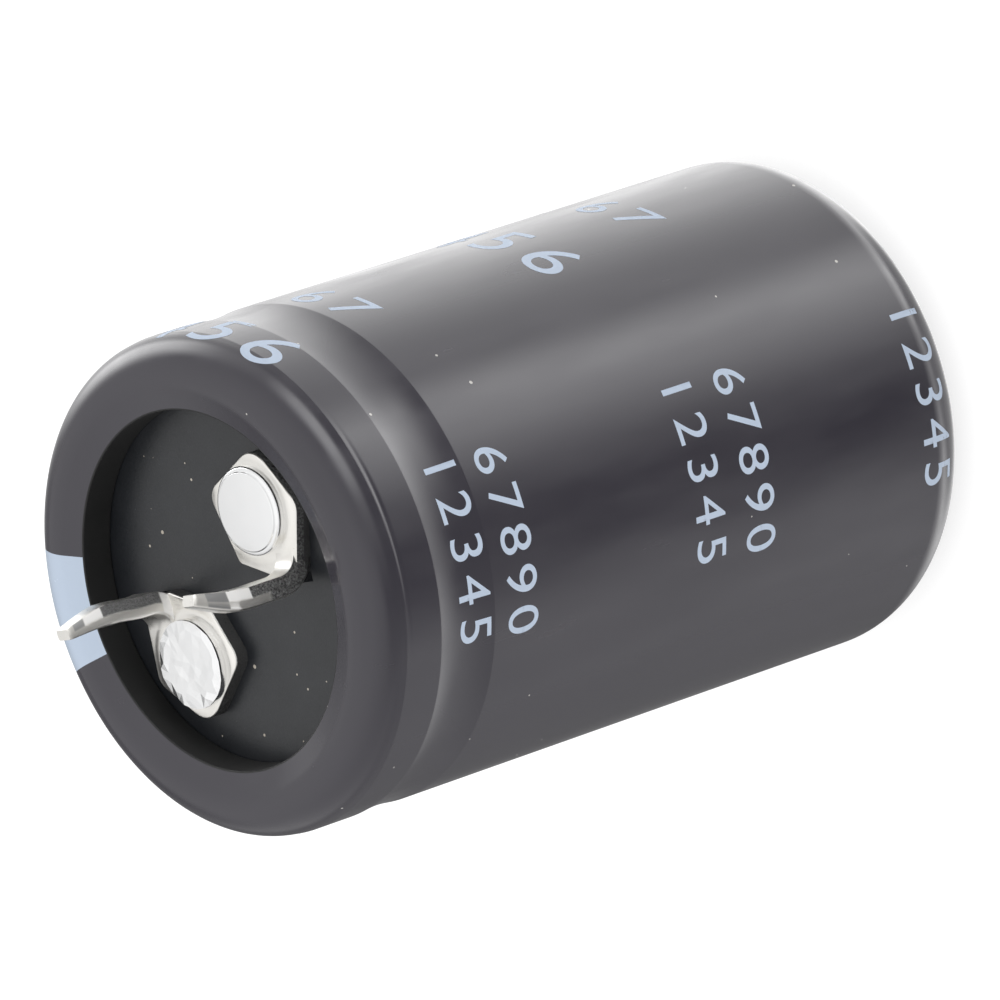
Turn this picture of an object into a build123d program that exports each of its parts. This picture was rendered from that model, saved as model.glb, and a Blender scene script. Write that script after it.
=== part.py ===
from build123d import *
from math import cos, radians, sin
import os

# Snap-in aluminium electrolytic capacitor, millimetres.
# It stands on its closed end: the origin is the centre of that end, +Z runs to the terminals,
# and +X runs through the middle of the stripe that marks the negative side.

# Overall sizes
can_diameter = 25.0
body_length = 41.0
terminal_height = 5.06
terminal_pitch = 10.1

# Sleeve
sleeve_wall = 0.2
base_wrap = 4.7
base_corner_radius = 2.7
rim_corner_radius = 1.6
rim_crown_width = 2.1
rim_blend_radius = 1.6
rim_width = 3.5
lip_drop = 0.75
lip_edge_radius = 0.3
lip_gap = 0.05
dip_depth = 0.2
dip_reach = 0.79
dip_blend = 0.45

# Can
can_wall = 0.4
base_thickness = 0.6
bead_depth = 1.2
bead_half_gap = 0.55
bead_shoulder_radius = 0.45
bead_root_radius = 0.4
vent_score_length = 12.0
vent_score_width = 0.35
vent_score_depth = 0.3

# Terminal deck
deck_below_rim = 2.3
rubber_thickness = 0.9
board_thickness = 1.0
deck_clearance = 0.05
plate_sink = 0.3

# Rivets
rivet_offset = 3.6
rivet_shank_radius = 1.5
rivet_head_radius = 2.3
rivet_head_height = 0.5
rivet_head_bevel = 0.22
rivet_inner_head_radius = 2.3
rivet_inner_head_height = 0.5
hammer_blows = 9
hammer_tilt = 14.0
hammer_reach = 1.35

# Terminals
sheet = 1.1
blade_width = 1.45
blade_tip_width = 0.8
blade_tip_thickness = 0.45
blade_tip_radius = 0.12
bend_inner_radius = 1.1
bend_rise = 2.0
kink_height = 2.4
kink_radius = 7.5
plate_half_width = 3.25
plate_shoulder_rise = 0.5
plate_shoulder_radius = 0.9
plate_apex_shift = 0.45
plate_apex_rise = 3.2
plate_apex_radius = 1.3
plate_waist = 2.0
plate_waist_drop = 2.6
plate_waist_radius = 0.4
plate_overlap = 0.1
neck_corner_radius = 0.25
negative_plate_turn = 6.0
positive_plate_turn = -10.0

# How far the middle of each blade stands off the line between the two terminals, towards its plate
negative_root = 0.25
negative_kink = 0.0
negative_tip = 0.42
positive_root = -0.24
positive_kink = -0.26
positive_tip = 0.48

# Winding, its leads and their washers
winding_clearance = 0.48
winding_headroom = 0.8
winding_base_chamfer = 1.6
core_hole_radius = 1.6
turn_grooves = 3
turn_groove_width = 0.45
turn_groove_depth = 0.35
tape_thickness = 0.12
tape_margin = 3.0
tab_thickness = 0.2
tab_width = 3.6
tab_reach = 2.4
tab_bend_radius = 0.6
washer_radius = 2.6
washer_thickness = 0.4

# Sizes that follow from those above
can_radius = can_diameter / 2
sleeve_radius = can_radius + sleeve_wall
base_opening_radius = sleeve_radius - base_wrap
rim_flat_radius = sleeve_radius - rim_crown_width
lip_radius = sleeve_radius - rim_width
can_inner_radius = can_radius - can_wall
winding_radius = can_inner_radius - tape_thickness - winding_clearance
deck_radius = can_inner_radius - dip_depth - deck_clearance
deck_top = body_length - deck_below_rim
board_top = deck_top - rubber_thickness
board_bottom = board_top - board_thickness
bead_centre = board_bottom - can_wall - bead_half_gap
dip_half_width = dip_reach * (body_length - rim_corner_radius - bead_centre)
dip_radius = dip_blend * dip_half_width**2 / dip_depth
can_floor = sleeve_wall + base_thickness
winding_top = bead_centre - bead_half_gap - can_wall - winding_headroom
plate_bottom = deck_top - plate_sink
plate_top = plate_bottom + sheet
blade_x = terminal_pitch / 2
washer_top = board_bottom - tab_thickness
inner_head_top = washer_top - washer_thickness
rivet_axis = Axis((rivet_offset, rivet_offset, 0), (0, 0, 1))
rivet_plane = Plane((rivet_offset, rivet_offset, 0), x_dir=(1, 0, 0), z_dir=(0, -1, 0))

os.makedirs("parts", exist_ok=True)


# Name a finished piece and write its file
def save(piece, name):
    piece.label = name
    export_step(piece, f"parts/{name}.step")


# Rim corners shared by the sleeve and the curled can, each inset from the sleeve's outer face
def rim_points(inset):
    top = body_length - inset
    return [
        (sleeve_radius - inset, top),
        (rim_flat_radius, top),
        (lip_radius + inset, top - lip_drop),
    ]


def rim_radii(inset):
    return [rim_corner_radius - inset, rim_blend_radius - inset, max(lip_edge_radius - inset, 0)]


# Sleeve


# One face of the shrunk tube: from its edge on the closed end, up the side, over the rim, to its lip
def sleeve_face(inset):
    radius = sleeve_radius - inset
    points = [
        (base_opening_radius, inset),
        (radius, inset),
        (radius, bead_centre - dip_half_width),
        (radius - dip_depth, bead_centre),
        (radius, bead_centre + dip_half_width),
        *rim_points(inset),
        (lip_radius + inset, deck_top + lip_gap),
    ]
    dip_radii = [dip_radius, dip_radius, dip_radius]
    radii = [base_corner_radius - inset, *dip_radii, *rim_radii(inset)]
    return FilletPolyline(*points, radius=radii)


with BuildPart() as sleeve:
    with BuildSketch(Plane.XZ):
        with BuildLine():
            outer = sleeve_face(0)
            inner = sleeve_face(sleeve_wall)
            Line(outer @ 0, inner @ 0)
            Line(outer @ 1, inner @ 1)
        make_face()
    revolve(axis=Axis.Z)
save(sleeve.part, "sleeve")


# Can


# One face of the aluminium: base, side with its bead under the deck, and the curl down onto the rubber
def can_face(inset, bead_radii):
    radius = can_radius - inset
    half_gap = bead_half_gap + inset
    base = sleeve_wall + base_thickness * inset / can_wall
    mouth = radius - dip_depth * (1 - half_gap / dip_half_width)
    points = [
        (0, base),
        (radius, base),
        (radius, bead_centre - dip_half_width),
        (mouth, bead_centre - half_gap),
        (radius - bead_depth, bead_centre - half_gap),
        (radius - bead_depth, bead_centre + half_gap),
        (mouth, bead_centre + half_gap),
        (radius, bead_centre + dip_half_width),
        *rim_points(sleeve_wall + inset),
        (lip_radius + sleeve_wall + inset, deck_top),
    ]
    corner = base_corner_radius - sleeve_wall - inset
    return FilletPolyline(*points, radius=[corner, *bead_radii, *rim_radii(sleeve_wall + inset)])


with BuildPart() as can:
    with BuildSketch(Plane.XZ):
        with BuildLine():
            shoulder = bead_shoulder_radius
            root = bead_root_radius
            outer = can_face(0, [dip_radius, shoulder, root, root, shoulder, dip_radius])
            inner = can_face(can_wall, [0, 0, 0, 0, 0, 0])
            Line(outer @ 0, inner @ 0)
            Line(outer @ 1, inner @ 1)
        make_face()
    revolve(axis=Axis.Z)
    # Crossed score lines, where the closed end opens if the pressure inside rises
    with BuildSketch(Plane.XY.offset(sleeve_wall)):
        SlotOverall(vent_score_length, vent_score_width)
        SlotOverall(vent_score_length, vent_score_width, rotation=90)
    extrude(amount=vent_score_depth, mode=Mode.SUBTRACT)
save(can.part, "can")


# Terminals


# Corner of a lobe that is turned a little about its rivet
def lobe_corner(across, along, turn):
    lean = radians(turn)
    return (
        rivet_offset + across * cos(lean) - along * sin(lean),
        rivet_offset + across * sin(lean) + along * cos(lean),
    )


# Plate of the terminal at +X: a lobe round its rivet, drawn in to the neck under the blade
def plate_outline(turn):
    corners = [
        lobe_corner(plate_apex_shift, plate_apex_rise, turn),
        lobe_corner(plate_half_width, plate_shoulder_rise, turn),
        (blade_x + blade_width / 2, 0),
        (blade_x - blade_width / 2, 0),
        (rivet_offset - plate_waist, rivet_offset - plate_waist_drop),
        lobe_corner(-plate_half_width, plate_shoulder_rise, turn),
    ]
    shoulder = plate_shoulder_radius
    neck = neck_corner_radius
    radii = [plate_apex_radius, shoulder, neck, neck, plate_waist_radius, shoulder]
    return FilletPolyline(*corners, radius=radii, close=True)


# Bend and blade seen from the side; root, kink and tip are how far the blade's middle stands off
# the line between the two terminals, towards the plate
def blade_outline(root, kink, tip):
    break_height = plate_top + bend_rise
    kink_level = body_length + kink_height
    tip_level = body_length + terminal_height
    half = sheet / 2
    half_tip = blade_tip_thickness / 2
    flat_end = root + half + bend_inner_radius + plate_overlap
    corners = [
        (flat_end, plate_bottom),
        (root - half, plate_bottom),
        (root - half, break_height),
        (kink - half, kink_level),
        (tip - half_tip, tip_level),
        (tip + half_tip, tip_level),
        (kink + half, kink_level),
        (root + half, break_height),
        (root + half, plate_top),
        (flat_end, plate_top),
    ]
    soft = kink_radius
    end = blade_tip_radius
    radii = [0, sheet, soft, soft, end, end, soft, soft, bend_inner_radius, 0]
    return FilletPolyline(*corners, radius=radii, close=True)


# Width of the blade seen from the front, drawn in to the tip
def blade_front():
    kink_level = body_length + kink_height
    tip_level = body_length + terminal_height
    corners = [
        (blade_x - blade_width / 2, plate_bottom),
        (blade_x - blade_width / 2, kink_level),
        (blade_x - blade_tip_width / 2, tip_level),
        (blade_x + blade_tip_width / 2, tip_level),
        (blade_x + blade_width / 2, kink_level),
        (blade_x + blade_width / 2, plate_bottom),
    ]
    end = blade_tip_radius
    return FilletPolyline(*corners, radius=[0, kink_radius, end, end, kink_radius, 0], close=True)


# One stamped and bent sheet, at +X
def terminal(root, kink, tip, turn):
    with BuildPart() as stamping:
        with BuildSketch(Plane.YZ.offset(blade_x)):
            with BuildLine():
                blade_outline(root, kink, tip)
            make_face()
        extrude(amount=blade_width / 2, both=True)
        with BuildSketch(Plane.XZ):
            with BuildLine():
                blade_front()
            make_face()
        extrude(amount=can_radius, both=True, mode=Mode.INTERSECT)
        with BuildSketch(Plane.XY.offset(plate_bottom)):
            with BuildLine():
                plate_outline(turn)
            make_face()
            with Locations((rivet_offset, rivet_offset)):
                Circle(rivet_shank_radius, mode=Mode.SUBTRACT)
        extrude(amount=sheet)
        # The rivet's head bites into the bend beside it
        with BuildSketch(Plane.XY.offset(plate_top)):
            with Locations((rivet_offset, rivet_offset)):
                Circle(rivet_head_radius)
        extrude(amount=rivet_head_height, mode=Mode.SUBTRACT)
    return stamping.part


with BuildPart() as terminal_negative:
    add(terminal(negative_root, negative_kink, negative_tip, negative_plate_turn))
save(terminal_negative.part, "terminal_negative")

with BuildPart() as terminal_positive:
    stamping = terminal(positive_root, positive_kink, positive_tip, positive_plate_turn)
    add(stamping, rotation=(0, 0, 180))
save(terminal_positive.part, "terminal_positive")


# Terminal deck

# Rubber face, dented where the terminal plates press into it
with BuildPart() as seal_rubber:
    with BuildSketch(Plane.XY.offset(board_top)):
        Circle(deck_radius)
        with Locations((rivet_offset, rivet_offset), (-rivet_offset, -rivet_offset)):
            Circle(rivet_shank_radius, mode=Mode.SUBTRACT)
    extrude(amount=rubber_thickness)
    add(terminal_negative.part, mode=Mode.SUBTRACT)
    add(terminal_positive.part, mode=Mode.SUBTRACT)
save(seal_rubber.part, "seal_rubber")

# Rigid board that sits on the can's bead
with BuildPart() as seal_board:
    with BuildSketch(Plane.XY.offset(board_bottom)):
        Circle(deck_radius)
        with Locations((rivet_offset, rivet_offset), (-rivet_offset, -rivet_offset)):
            Circle(rivet_shank_radius, mode=Mode.SUBTRACT)
    extrude(amount=board_thickness)
save(seal_board.part, "seal_board")


# Rivets


# Half section of a rivet about its axis: inner head, shank and the outer head that clamps the plate
def rivet_section():
    bottom = inner_head_top - rivet_inner_head_height
    top = plate_top + rivet_head_height
    bevel = rivet_head_bevel
    Polyline(
        (0, bottom),
        (rivet_inner_head_radius, bottom),
        (rivet_inner_head_radius, inner_head_top),
        (rivet_shank_radius, inner_head_top),
        (rivet_shank_radius, plate_top),
        (rivet_head_radius, plate_top),
        (rivet_head_radius, top - bevel),
        (rivet_head_radius - bevel / 2, top - bevel / 2),
        (rivet_head_radius - bevel, top - bevel / 2),
        (rivet_head_radius - bevel * 1.5, top),
        (0, top),
        close=True,
    )


with BuildPart() as rivet:
    with BuildSketch(rivet_plane):
        with BuildLine():
            rivet_section()
        make_face()
    revolve(axis=rivet_axis)

# Smooth pressed head
with BuildPart() as rivet_positive:
    add(rivet.part, rotation=(0, 0, 180))
save(rivet_positive.part, "rivet_positive")

# Hammered head: each blow leaves a facet round its edge
with BuildPart() as rivet_negative:
    add(rivet.part)
    for blow in range(hammer_blows):
        bearing = radians(360 * blow / hammer_blows)
        facet = Plane(
            (
                rivet_offset + hammer_reach * cos(bearing),
                rivet_offset + hammer_reach * sin(bearing),
                plate_top + rivet_head_height,
            ),
            z_dir=(
                sin(radians(hammer_tilt)) * cos(bearing),
                sin(radians(hammer_tilt)) * sin(bearing),
                cos(radians(hammer_tilt)),
            ),
        )
        split(bisect_by=facet, keep=Keep.BOTTOM)
save(rivet_negative.part, "rivet_negative")


# Leads inside the can


# One face of a lead tab: flat under the board past its rivet, then bent down to the winding
def tab_face(inset):
    bend_x = rivet_offset - washer_radius - tab_bend_radius
    points = [
        (rivet_offset + tab_reach, board_bottom - inset),
        (bend_x + inset, board_bottom - inset),
        (bend_x + inset, winding_top),
    ]
    return FilletPolyline(*points, radius=tab_bend_radius - inset)


with BuildPart() as tab_negative:
    with BuildSketch(Plane.XZ.offset(-rivet_offset)):
        with BuildLine():
            outer = tab_face(0)
            inner = tab_face(tab_thickness)
            Line(outer @ 0, inner @ 0)
            Line(outer @ 1, inner @ 1)
        make_face()
    extrude(amount=tab_width / 2, both=True)
    with BuildSketch(Plane.XY.offset(washer_top)):
        with Locations((rivet_offset, rivet_offset)):
            Circle(rivet_shank_radius)
    extrude(amount=tab_thickness, mode=Mode.SUBTRACT)
save(tab_negative.part, "tab_negative")

with BuildPart() as tab_positive:
    add(tab_negative.part, rotation=(0, 0, 180))
save(tab_positive.part, "tab_positive")

with BuildPart() as washer_negative:
    with BuildSketch(Plane.XY.offset(inner_head_top)):
        with Locations((rivet_offset, rivet_offset)):
            Circle(washer_radius)
            Circle(rivet_shank_radius, mode=Mode.SUBTRACT)
    extrude(amount=washer_thickness)
save(washer_negative.part, "washer_negative")

with BuildPart() as washer_positive:
    add(washer_negative.part, rotation=(0, 0, 180))
save(washer_positive.part, "washer_positive")


# Winding

# The rolled foils and paper as one body, with grooves between the turns at both ends
with BuildPart() as winding:
    with BuildSketch(Plane.XY.offset(can_floor)):
        Circle(winding_radius)
        Circle(core_hole_radius, mode=Mode.SUBTRACT)
    extrude(amount=winding_top - can_floor)
    base_edges = winding.edges().filter_by(GeomType.CIRCLE).sort_by(Axis.Z)[:2]
    chamfer(base_edges.sort_by(SortBy.LENGTH)[-1], length=winding_base_chamfer)
    pitch = (winding_radius - winding_base_chamfer - core_hole_radius) / (turn_grooves + 1)
    for end_level in (can_floor, winding_top - turn_groove_depth):
        for turn in range(turn_grooves):
            with BuildSketch(Plane.XY.offset(end_level)):
                Circle(core_hole_radius + pitch * (turn + 1) + turn_groove_width / 2)
                Circle(core_hole_radius + pitch * (turn + 1) - turn_groove_width / 2, mode=Mode.SUBTRACT)
            extrude(amount=turn_groove_depth, mode=Mode.SUBTRACT)
save(winding.part, "winding")

# Tape round the finished roll
with BuildPart() as winding_tape:
    with BuildSketch(Plane.XY.offset(can_floor + tape_margin)):
        Circle(winding_radius + tape_thickness)
        Circle(winding_radius, mode=Mode.SUBTRACT)
    extrude(amount=winding_top - can_floor - 2 * tape_margin)
save(winding_tape.part, "winding_tape")
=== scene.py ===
import random
from math import cos, exp, hypot, pi, radians, sin, tan

import bmesh
import bpy
from mathutils import Matrix, Vector
from mathutils.geometry import delaunay_2d_cdt


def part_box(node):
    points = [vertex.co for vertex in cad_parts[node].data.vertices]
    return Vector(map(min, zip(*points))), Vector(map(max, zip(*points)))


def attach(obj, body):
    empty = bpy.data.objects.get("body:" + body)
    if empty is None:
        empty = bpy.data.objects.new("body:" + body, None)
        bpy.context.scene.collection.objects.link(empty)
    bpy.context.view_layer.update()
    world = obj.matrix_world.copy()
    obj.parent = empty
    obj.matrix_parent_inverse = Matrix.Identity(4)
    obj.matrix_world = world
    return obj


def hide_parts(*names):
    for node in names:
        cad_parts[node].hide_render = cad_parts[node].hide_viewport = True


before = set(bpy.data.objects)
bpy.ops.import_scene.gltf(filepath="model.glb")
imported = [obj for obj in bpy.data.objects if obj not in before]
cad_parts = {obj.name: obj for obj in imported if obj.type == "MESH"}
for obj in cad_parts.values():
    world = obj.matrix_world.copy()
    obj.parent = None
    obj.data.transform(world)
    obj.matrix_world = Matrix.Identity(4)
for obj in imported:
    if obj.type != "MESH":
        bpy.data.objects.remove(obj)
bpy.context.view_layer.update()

MM = 0.001
# Profiles of revolution stop this far from their axis, in mm
AXIS = 0.001

# Camera, fitted to the can's outline in the photograph
CAMERA_PLACE = Vector((-453.65, -56.13, 405.78)) * MM
CAMERA_RIGHT = Vector((-0.64516, 0.23921, -0.72563))
CAMERA_UP = Vector((-0.08551, -0.96637, -0.24254))
FOCAL_PIXELS = 12000
IMAGE_PIXELS = 1000
SENSOR = 36.0

# Film of the sleeve, in mm. The tuck keeps it just inside the CAD solid
FILM_WALL = 0.2
FILM_TUCK = 0.012
BASE_WRAP = 4.7
BASE_CORNER = 2.7
# Above its crease the rim leans in towards a peak, turns over there, and slopes down to the lip
RIM_CORNER = 1.8
RIM_CREASE = 1.87
RIM_LEAN = 0.14
RIM_CROWN = 2.3
RIM_PEAK = 0.65
RIM_WIDTH = 3.55
LIP_DROP = 0.5
LIP_EDGE = 0.06
LIP_FOOT = 2.25
LIP_OVAL = 0.06
# The dip over the can's bead, between its two creases below the crest, and the round of each crease
GROOVE_TOP = 4.15
GROOVE_END = 7.7
GROOVE_DEPTH = 0.12
GROOVE_TURN = 0.15
GROOVE_PIECES = 12
CREASE = 0.3
# Points of the film's section: their widest spacing, the shortest run that gets points near its
# ends, their gap from the ends, and the shortest run of the rim's outer wall that is cut finely
SECTION_STEP = 0.9
STRAIGHT_RUN = 0.3
CREASE_GAP = 0.06
RIM_RUN = 0.5
OUTER_WALL = 0.2
SLEEVE_TURNS = 384
STRIPE_HALF_ANGLE = 15.4
# Small ridge on one side of the rim: its bearing and spread in degrees, the rest in mm. It is looked
# for only this far below the crest and this far in from the outer wall: RIDGE_REACH and RIDGE_WALL
RIDGE_BEARING = 189
RIDGE_SPREAD = 17
RIDGE_BELOW = 2.1
RIDGE_REACH = 3
RIDGE_WALL = 1
RIDGE_WIDTH = 0.12
RIDGE_DEPTH = 0.025

# Print on the film, in mm, cut into small faces so that it bends with the film
PRINT_LIFT = 0.006
PRINT_CUT = 0.3
PRINT_SPACING = 1.3
# Plain figures where the real one is printed. Each row: the name of its pieces, its figures and their
# height, the bearings at its start and end in degrees, and each block's middle below the crest
PRINT_ROWS = (
    ("print_upper", "12345", 2.0, -162.5, -203.5, (6.5, 22.4, 38.3)),
    ("print_lower", "67890", 2.0, -162, -205, (9.6, 25.8)),
    ("print_large", "123 456", 3.2, -28, -125, (2.8, 21.6)),
    ("print_middle", "12345 67", 2.3, -28, -118, (9.5, 28.8)),
)

# Rivets, in mm
RIVET_OFFSET = 3.6
SHANK_RADIUS = 1.5
HEAD_RADIUS = 2.25
HEAD_HEIGHT = 0.5
HEAD_ROUND = 0.2
INNER_HEAD_HEIGHT = 0.5
HEAD_TURNS = 96
# The smooth head sits a little off its place, and a small step runs round its face
SMOOTH_HEAD_SHIFT = 0.07
STEP_IN = 0.28
STEP_RUN = 0.06
STEP_DROP = 0.09
STEP_ROUNDS = (0.05, 0.03)
SMOOTH_EDGE_DROP = 0.1
# The hammered head's net of flats: the number of its corners along the edge and inside, the gap that
# those inside keep, the shares of the radius where the inner ones end and the edge begins, and how
# far the corners lie below the top
EDGE_POINTS = 30
FACET_POINTS = 64
FACET_GAP = 0.32
FACET_REACH = 0.86
EDGE_SHARE = 0.97
FACET_RELIEF = 0.05
EDGE_DROP = 0.05
EDGE_RELIEF = 0.08
HAMMERED_WALL_DROP = 0.2

# Terminals, in mm: seen from their own side, where the plate lies towards +X and +Y of the blade.
# Rises are heights above the crest
BLADE_X = 5.05
BLADE_WIDTH = 1.45
TIP_WIDTH = 0.95
SHEET = 1.1
TIP_THICKNESS = 0.58
FLARE_FROM = -0.3
FLARE_RISE = 2.0
TIP_RISE = 5.06
KINK_RISE = 2.4
BLADE_ROUND = 7.5
BEND_RISE = 0.5
BEND_INSIDE = 1.1
STRIP_OVERLAP = 0.4
STRIP_TUCK = 0.01
RING_STEP = 0.1
TIP_TUCK = 0.1
TIP_BLUNTED = 0.25
TIP_SHRINK = 0.25
ROLLED_EDGE = 0.4
BROKEN_EDGE = 0.16
BROKEN_LEAN = 0.22
NECK_CORNER = 0.25
NECK_CUT = 0.7
NECK_TUCK = 0.03
PLATE_EDGE = 0.1
PLATE_HALF = 3.25
PLATE_SHOULDER = 0.5
PLATE_SHOULDER_RADIUS = 0.9
PLATE_APEX = (0.45, 3.2)
PLATE_APEX_RADIUS = 1.3
PLATE_WAIST = (-2.0, -2.6)
PLATE_WAIST_RADIUS = 0.4
# For each terminal: how far the blade's middle stands off the line between the two at its root, kink
# and tip, the turn of its plate about the rivet in degrees, and how much its neck widens
NEGATIVE_BLADE = (0.25, 0.0, 0.42, 6.0, 0.8)
POSITIVE_BLADE = (-0.24, -0.26, 0.48, -10.0, 0.1)
# Heights above the crest: a blade's cut side is torn dark between the first two, then painted bright
# as a highlight up to the third and painted grey as shade up to the fourth
NEGATIVE_CUT = (-0.95, 2.8, 3.95, 4.6)
POSITIVE_CUT = (-9, 1.6, 3.05, 4.25)
# Height below which the sides of each terminal's bend are torn, the negative one first
TORN_ROOT = (-2.3, 0.5)

_, sleeve_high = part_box("sleeve")
SLEEVE_RADIUS = sleeve_high[0] / MM
BODY_LENGTH = sleeve_high[2] / MM
rivet_low, rivet_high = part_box("rivet_positive")
HEAD_TOP = rivet_high[2] / MM
RIVET_FOOT = rivet_low[2] / MM
PLATE_TOP = HEAD_TOP - HEAD_HEIGHT


# Small helpers


def new_object(name, mesh):
    thing = bpy.data.objects.new(name, mesh)
    bpy.context.collection.objects.link(thing)
    return thing


def mesh_from(name, points, faces, smooth=True):
    mesh = bpy.data.meshes.new(name)
    mesh.from_pydata([Vector(p) * MM for p in points], [], faces)
    for polygon in mesh.polygons:
        polygon.use_smooth = smooth
    return mesh


# Piece of the object: it rides on the part and may stand for a CAD node, which is then hidden
def dress(piece, node=None):
    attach(piece, "root")
    if node:
        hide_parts(node)
    return piece


# Polyline through corners, each rounded by its radius, as a list of points; a round gets a fixed
# number of pieces, or as many as its sweep needs
def rounded(corners, radii, step, fixed=None):
    points = [corners[0]]
    for before, corner, after, radius in zip(corners, corners[1:], corners[2:], radii):
        here = Vector(corner)
        to_before = (Vector(before) - here).normalized()
        to_after = (Vector(after) - here).normalized()
        half = to_before.angle(to_after) / 2
        if radius <= 0:
            points.append(corner)
            continue
        centre = here + (to_before + to_after).normalized() * (radius / sin(half))
        start = here + to_before * (radius / tan(half)) - centre
        sweep = pi - 2 * half
        turn = -1 if start.x * to_before.y - start.y * to_before.x > 0 else 1
        pieces = fixed or max(2, round(sweep / step))
        for i in range(pieces + 1):
            angle = turn * sweep * i / pieces
            x = start.x * cos(angle) - start.y * sin(angle)
            y = start.x * sin(angle) + start.y * cos(angle)
            points.append((centre.x + x, centre.y + y))
    points.append(corners[-1])
    return points


# Surface of revolution about an upright axis, closed all the way round
def revolve(name, profile, turns, centre=(0, 0), shift=None):
    points = []
    for turn in range(turns):
        angle = 2 * pi * turn / turns
        for radius, height in profile:
            if shift:
                radius, height = shift(radius, height, angle)
            x = centre[0] + radius * cos(angle)
            y = centre[1] + radius * sin(angle)
            points.append((x, y, height))
    count = len(profile)
    faces = []
    for turn in range(turns):
        here = turn * count
        following = (turn + 1) % turns * count
        for i in range(count - 1):
            faces.append((here + i, following + i, following + i + 1, here + i + 1))
    return new_object(name, mesh_from(name, points, faces))


# Materials


def add_node(tree, kind, inputs=None, **settings):
    made = tree.nodes.new(kind)
    for name, value in settings.items():
        setattr(made, name, value)
    for name, value in (inputs or {}).items():
        socket = made.inputs[name]
        if isinstance(value, bpy.types.NodeSocket):
            tree.links.new(value, socket)
        else:
            socket.default_value = value
    return made


def maths(tree, operation, first, second=0.0):
    inputs = {0: first, 1: second}
    return add_node(tree, "ShaderNodeMath", inputs, operation=operation).outputs[0]


# The value slides from 0 to 1 while the input goes from start to end
def slide(tree, value, start, end):
    inputs = {"Value": value, "From Min": start, "From Max": end}
    return add_node(tree, "ShaderNodeMapRange", inputs).outputs["Result"]


# Mix of two values, or of two colours, each given as a constant or a socket
def blended(tree, share, first, second):
    made = add_node(tree, "ShaderNodeMix", {"Factor": share}, data_type="FLOAT")
    for place, value in ((2, first), (3, second)):
        if isinstance(value, bpy.types.NodeSocket):
            tree.links.new(value, made.inputs[place])
        else:
            made.inputs[place].default_value = value
    return made.outputs[0]


def mixed(tree, share, first, second):
    made = add_node(tree, "ShaderNodeMix", {"Factor": share}, data_type="RGBA")
    for place, colour in ((6, first), (7, second)):
        if isinstance(colour, bpy.types.NodeSocket):
            tree.links.new(colour, made.inputs[place])
        else:
            made.inputs[place].default_value = (*colour, 1)
    return made.outputs[2]


# Place on the object in millimetres
def place_mm(tree, stretch=(1, 1, 1)):
    place = add_node(tree, "ShaderNodeTexCoord").outputs["Object"]
    inputs = {0: place, 1: tuple(s / MM for s in stretch)}
    return add_node(tree, "ShaderNodeVectorMath", inputs, operation="MULTIPLY").outputs[0]


# Length of the diagonal over two sides
def hypot_of(tree, first, second):
    squares = [maths(tree, "POWER", value, 2.0) for value in (first, second)]
    return maths(tree, "SQRT", maths(tree, "ADD", *squares))


def noise(tree, place, scale, detail=3.0, roughness=0.5):
    inputs = {"Vector": place, "Scale": scale, "Detail": detail, "Roughness": roughness}
    return add_node(tree, "ShaderNodeTexNoise", inputs).outputs["Fac"]


# Small bright specks of dust, strewn at random: 1 in a speck, 0 elsewhere
def specks(tree, place, spacing, size, share):
    inputs = {"Vector": place, "Scale": 1 / spacing, "Randomness": 1.0}
    cells = add_node(tree, "ShaderNodeTexVoronoi", inputs)
    chosen = add_node(tree, "ShaderNodeSeparateColor", {"Color": cells.outputs["Color"]})
    kept = maths(tree, "LESS_THAN", chosen.outputs[0], share)
    radius = maths(tree, "MULTIPLY", chosen.outputs[1], size / spacing)
    near = maths(tree, "LESS_THAN", cells.outputs["Distance"], radius)
    return maths(tree, "MULTIPLY", kept, near)


# New material with its node tree and its shader
def material(name):
    made = bpy.data.materials.new(name)
    made.use_nodes = True
    return made, made.node_tree, made.node_tree.nodes["Principled BSDF"]


# Height in shares of a distance in mm, as a bump on the shader
def finish_bump(tree, shader, height, distance_mm, strength):
    inputs = {"Height": height, "Distance": distance_mm * MM, "Strength": strength}
    bump = add_node(tree, "ShaderNodeBump", inputs)
    tree.links.new(bump.outputs["Normal"], shader.inputs["Normal"])


# Wall of the lip that is painted black as shade: it starts this far above the lip's corner and ends
# this far inside the film
LIP_SHADE_ABOVE = 0.03
LIP_SHADE_INSIDE = 0.05
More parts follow.
